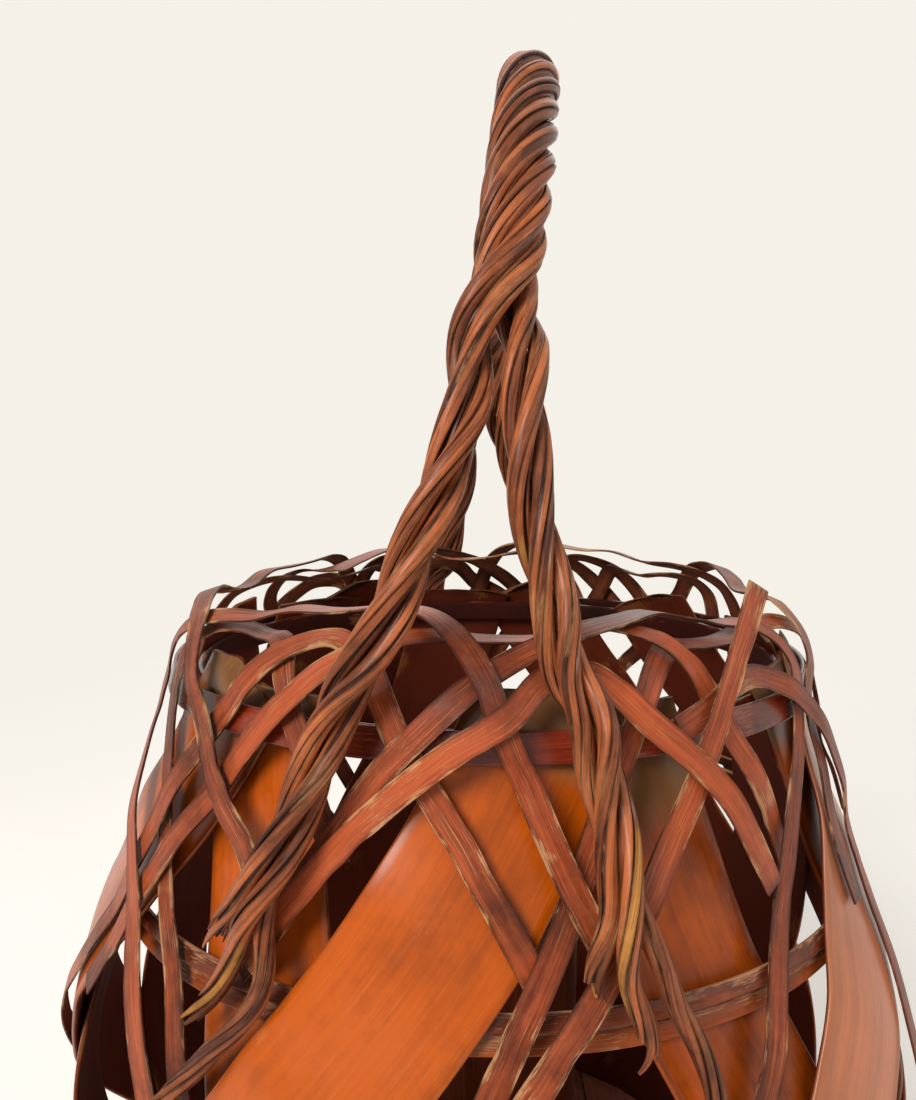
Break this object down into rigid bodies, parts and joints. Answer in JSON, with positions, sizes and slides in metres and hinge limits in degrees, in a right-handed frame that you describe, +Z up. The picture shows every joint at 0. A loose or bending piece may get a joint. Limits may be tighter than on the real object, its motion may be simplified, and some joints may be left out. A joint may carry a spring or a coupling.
{
  "type": "ikebana basket",
  "caption": "Round-bellied flower basket of rough-woven split bamboo, with a twisted handle that arches over the open mouth and a water tube that lifts out.",
  "frame": {"origin": "on the basket's axis, in the plane that the foot rests on", "axes": "+Z up along the basket's axis; -Y is the pictured front; the handle arches over the mouth from -Y to +Y"},
  "size_m": [0.2644, 0.2591, 0.3885],
  "materials": {
    "left_leaning_plate_1": "glossy dark lacquered bamboo bark",
    "left_leaning_plate_2": "glossy dark lacquered bamboo bark",
    "left_leaning_plate_3": "glossy dark lacquered bamboo bark",
    "left_leaning_plate_4": "glossy dark lacquered bamboo bark",
    "left_leaning_plate_5": "glossy dark lacquered bamboo bark",
    "left_leaning_plate_6": "glossy dark lacquered bamboo bark",
    "left_leaning_plate_7": "glossy dark lacquered bamboo bark",
    "right_leaning_plate_1": "glossy lacquered bamboo bark",
    "right_leaning_plate_2": "glossy lacquered bamboo bark",
    "right_leaning_plate_3": "glossy lacquered bamboo bark",
    "right_leaning_plate_4": "glossy lacquered bamboo bark",
    "right_leaning_plate_5": "glossy lacquered bamboo bark",
    "right_leaning_plate_6": "glossy lacquered bamboo bark",
    "right_leaning_plate_7": "glossy lacquered bamboo bark",
    "lower_waist_band": "semi-gloss stained split bamboo",
    "upper_waist_band": "semi-gloss stained split bamboo",
    "outer_rim_hoop": "semi-gloss dark red lacquer on bamboo",
    "inner_rim_hoop": "semi-gloss dark red lacquer on bamboo",
    "upright_strip_front": "semi-gloss stained split bamboo with worn edges",
    "upright_strip_back": "semi-gloss stained split bamboo with worn edges",
    "low_arch_strip_front": "semi-gloss stained split bamboo with worn edges",
    "low_arch_strip_back": "semi-gloss stained split bamboo with worn edges",
    "leaning_strip_front": "semi-gloss stained split bamboo with worn edges",
    "leaning_strip_back": "semi-gloss stained split bamboo with worn edges",
    "long_lip_strip_front": "semi-gloss stained split bamboo with worn edges",
    "long_lip_strip_back": "semi-gloss stained split bamboo with worn edges",
    "crossing_strip_front": "semi-gloss stained split bamboo with worn edges",
    "crossing_strip_back": "semi-gloss stained split bamboo with worn edges",
    "cut_strip_front": "semi-gloss stained split bamboo with worn edges",
    "cut_strip_back": "semi-gloss stained split bamboo with worn edges",
    "big_arch_strip_front": "semi-gloss stained split bamboo with worn edges",
    "big_arch_strip_back": "semi-gloss stained split bamboo with worn edges",
    "short_arch_strip_front": "semi-gloss stained split bamboo with worn edges",
    "short_arch_strip_back": "semi-gloss stained split bamboo with worn edges",
    "back_lip_strip_front": "semi-gloss stained split bamboo with worn edges",
    "back_lip_strip_back": "semi-gloss stained split bamboo with worn edges",
    "side_arch_strip_front": "semi-gloss stained split bamboo with worn edges",
    "side_arch_strip_back": "semi-gloss stained split bamboo with worn edges",
    "outer_foot_hoop": "semi-gloss stained split bamboo",
    "inner_foot_hoop": "semi-gloss stained split bamboo",
    "lower_floor_slat_1": "satin stained split bamboo",
    "lower_floor_slat_2": "satin stained split bamboo",
    "lower_floor_slat_3": "satin stained split bamboo",
    "lower_floor_slat_4": "satin stained split bamboo",
    "upper_floor_slat_1": "satin stained split bamboo",
    "upper_floor_slat_2": "satin stained split bamboo",
    "upper_floor_slat_3": "satin stained split bamboo",
    "upper_floor_slat_4": "satin stained split bamboo",
    "handle_strand_a1": "satin stained twisted stems",
    "handle_strand_a2": "satin stained twisted stems",
    "handle_strand_a3": "satin stained twisted stems",
    "handle_strand_b1": "satin stained twisted stems",
    "handle_strand_b2": "satin stained twisted stems",
    "handle_strand_b3": "satin stained twisted stems",
    "water_tube": "satin dried bamboo culm"
  },
  "bodies": {
    "basket": {"left_leaning_plate_1": "left_leaning_plate_1", "left_leaning_plate_2": "left_leaning_plate_2", "left_leaning_plate_3": "left_leaning_plate_3", "left_leaning_plate_4": "left_leaning_plate_4", "left_leaning_plate_5": "left_leaning_plate_5", "left_leaning_plate_6": "left_leaning_plate_6", "left_leaning_plate_7": "left_leaning_plate_7", "right_leaning_plate_1": "right_leaning_plate_1", "right_leaning_plate_2": "right_leaning_plate_2", "right_leaning_plate_3": "right_leaning_plate_3", "right_leaning_plate_4": "right_leaning_plate_4", "right_leaning_plate_5": "right_leaning_plate_5", "right_leaning_plate_6": "right_leaning_plate_6", "right_leaning_plate_7": "right_leaning_plate_7", "lower_waist_band": "lower_waist_band", "upper_waist_band": "upper_waist_band", "outer_rim_hoop": "outer_rim_hoop", "inner_rim_hoop": "inner_rim_hoop", "upright_strip_front": "upright_strip_front", "upright_strip_back": "upright_strip_back", "low_arch_strip_front": "low_arch_strip_front", "low_arch_strip_back": "low_arch_strip_back", "leaning_strip_front": "leaning_strip_front", "leaning_strip_back": "leaning_strip_back", "long_lip_strip_front": "long_lip_strip_front", "long_lip_strip_back": "long_lip_strip_back", "crossing_strip_front": "crossing_strip_front", "crossing_strip_back": "crossing_strip_back", "cut_strip_front": "cut_strip_front", "cut_strip_back": "cut_strip_back", "big_arch_strip_front": "big_arch_strip_front", "big_arch_strip_back": "big_arch_strip_back", "short_arch_strip_front": "short_arch_strip_front", "short_arch_strip_back": "short_arch_strip_back", "back_lip_strip_front": "back_lip_strip_front", "back_lip_strip_back": "back_lip_strip_back", "side_arch_strip_front": "side_arch_strip_front", "side_arch_strip_back": "side_arch_strip_back", "outer_foot_hoop": "outer_foot_hoop", "inner_foot_hoop": "inner_foot_hoop", "lower_floor_slat_1": "lower_floor_slat_1", "lower_floor_slat_2": "lower_floor_slat_2", "lower_floor_slat_3": "lower_floor_slat_3", "lower_floor_slat_4": "lower_floor_slat_4", "upper_floor_slat_1": "upper_floor_slat_1", "upper_floor_slat_2": "upper_floor_slat_2", "upper_floor_slat_3": "upper_floor_slat_3", "upper_floor_slat_4": "upper_floor_slat_4", "handle_strand_a1": "handle_strand_a1", "handle_strand_a2": "handle_strand_a2", "handle_strand_a3": "handle_strand_a3", "handle_strand_b1": "handle_strand_b1", "handle_strand_b2": "handle_strand_b2", "handle_strand_b3": "handle_strand_b3"},
    "water_tube": {"water_tube": "water_tube"}
  },
  "joints": [
    {"name": "water_tube_lift", "type": "slide", "parent": "basket", "child": "water_tube", "axis": [0, 0, 1], "range_m": [0, 0.225]}
  ]
}
